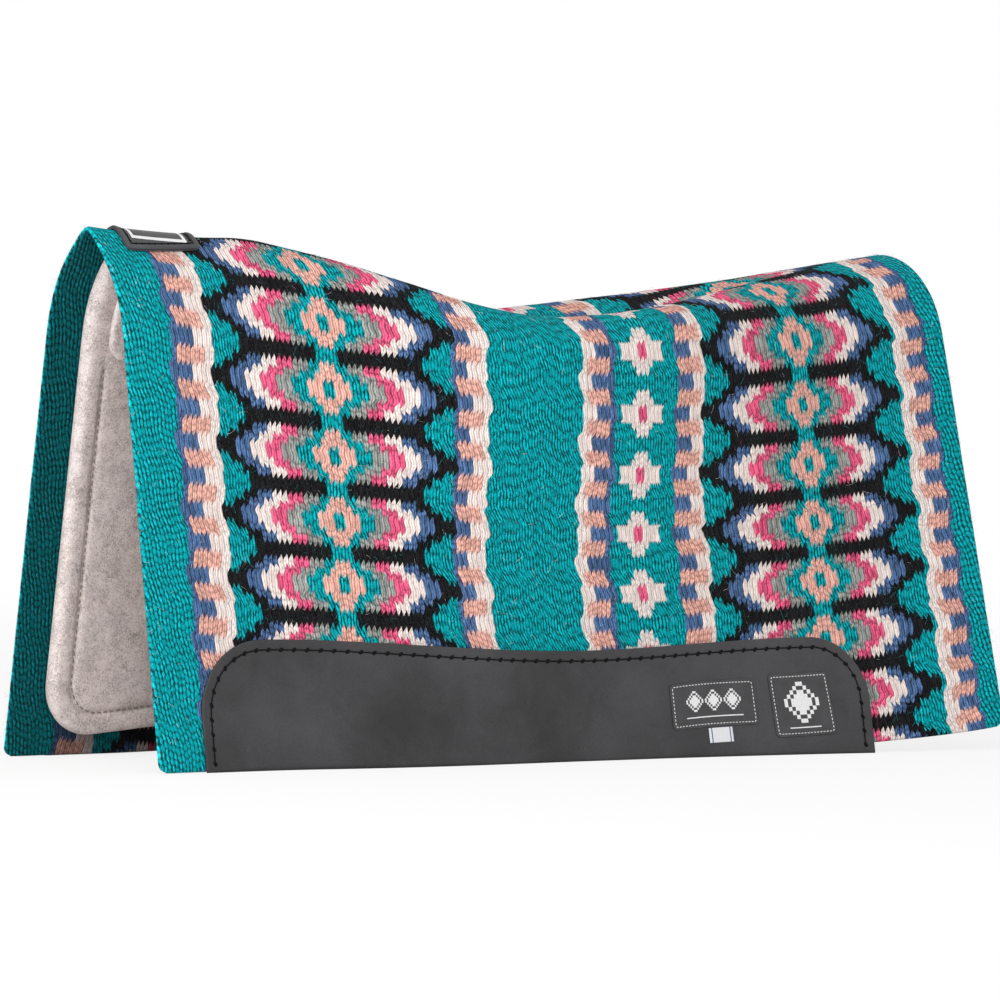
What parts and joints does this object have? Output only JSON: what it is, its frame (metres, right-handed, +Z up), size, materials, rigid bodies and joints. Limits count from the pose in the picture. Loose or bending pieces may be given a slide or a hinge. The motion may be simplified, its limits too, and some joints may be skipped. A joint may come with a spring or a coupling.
{
  "type": "saddle pad",
  "caption": "Contoured Western saddle pad: woven wool top over moulded felt halves, wear leathers on the lower edges, leather wither patch, folding along the spine.",
  "frame": {"origin": "middle of the bounding box on the floor the pad stands on, under the spine", "axes": "+X runs from the wither (front) end to the loin (rear) end along the spine, -Y is the horse's left (near) side, +Z is up"},
  "size_m": [0.864, 0.3656, 0.4606],
  "materials": {
    "woven_wool": "thick woven wool, teal ground with black, blue, cream, pink, peach and grey stepped figures",
    "felt": "pressed wool felt, mottled grey-beige",
    "bar_felt": "pressed wool felt, slightly lighter",
    "grey_thread": "heavy sewing thread",
    "wear_leather": "smooth oiled black leather, low sheen",
    "black_thread": "waxed sewing thread",
    "patch_leather": "black leather",
    "rim_leather": "grey-black bevelled leather rim",
    "label_leather": "fine black leather",
    "tag_cloth": "white woven tape",
    "white_thread": "fine white sewing thread"
  },
  "bodies": {
    "left_half": {"woven_top": "woven_wool", "wither_patch": "patch_leather", "wither_rim": "rim_leather", "wither_stitching": "black_thread", "felt_liner_left": "felt", "felt_bar_left": "bar_felt", "liner_stitching_left": "grey_thread", "wear_leather_left": "wear_leather", "wear_stitching_left": "black_thread", "wide_label_left": "label_leather", "square_label_left": "label_leather", "side_tag_left": "tag_cloth", "label_stitching_left": "white_thread"},
    "right_half": {"felt_liner_right": "felt", "felt_bar_right": "bar_felt", "liner_stitching_right": "grey_thread", "wear_leather_right": "wear_leather", "wear_stitching_right": "black_thread", "wide_label_right": "label_leather", "square_label_right": "label_leather", "side_tag_right": "tag_cloth", "label_stitching_right": "white_thread"}
  },
  "joints": [
    {"name": "spine_fold", "type": "hinge", "parent": "left_half", "child": "right_half", "pos_m": [0, 0, 0.425], "axis": [1, 0, 0], "range_deg": [-12, 35], "stiffness_Nm_per_rad": 120, "deforming": ["woven_top", "wither_patch", "wither_rim", "wither_stitching"]}
  ]
}
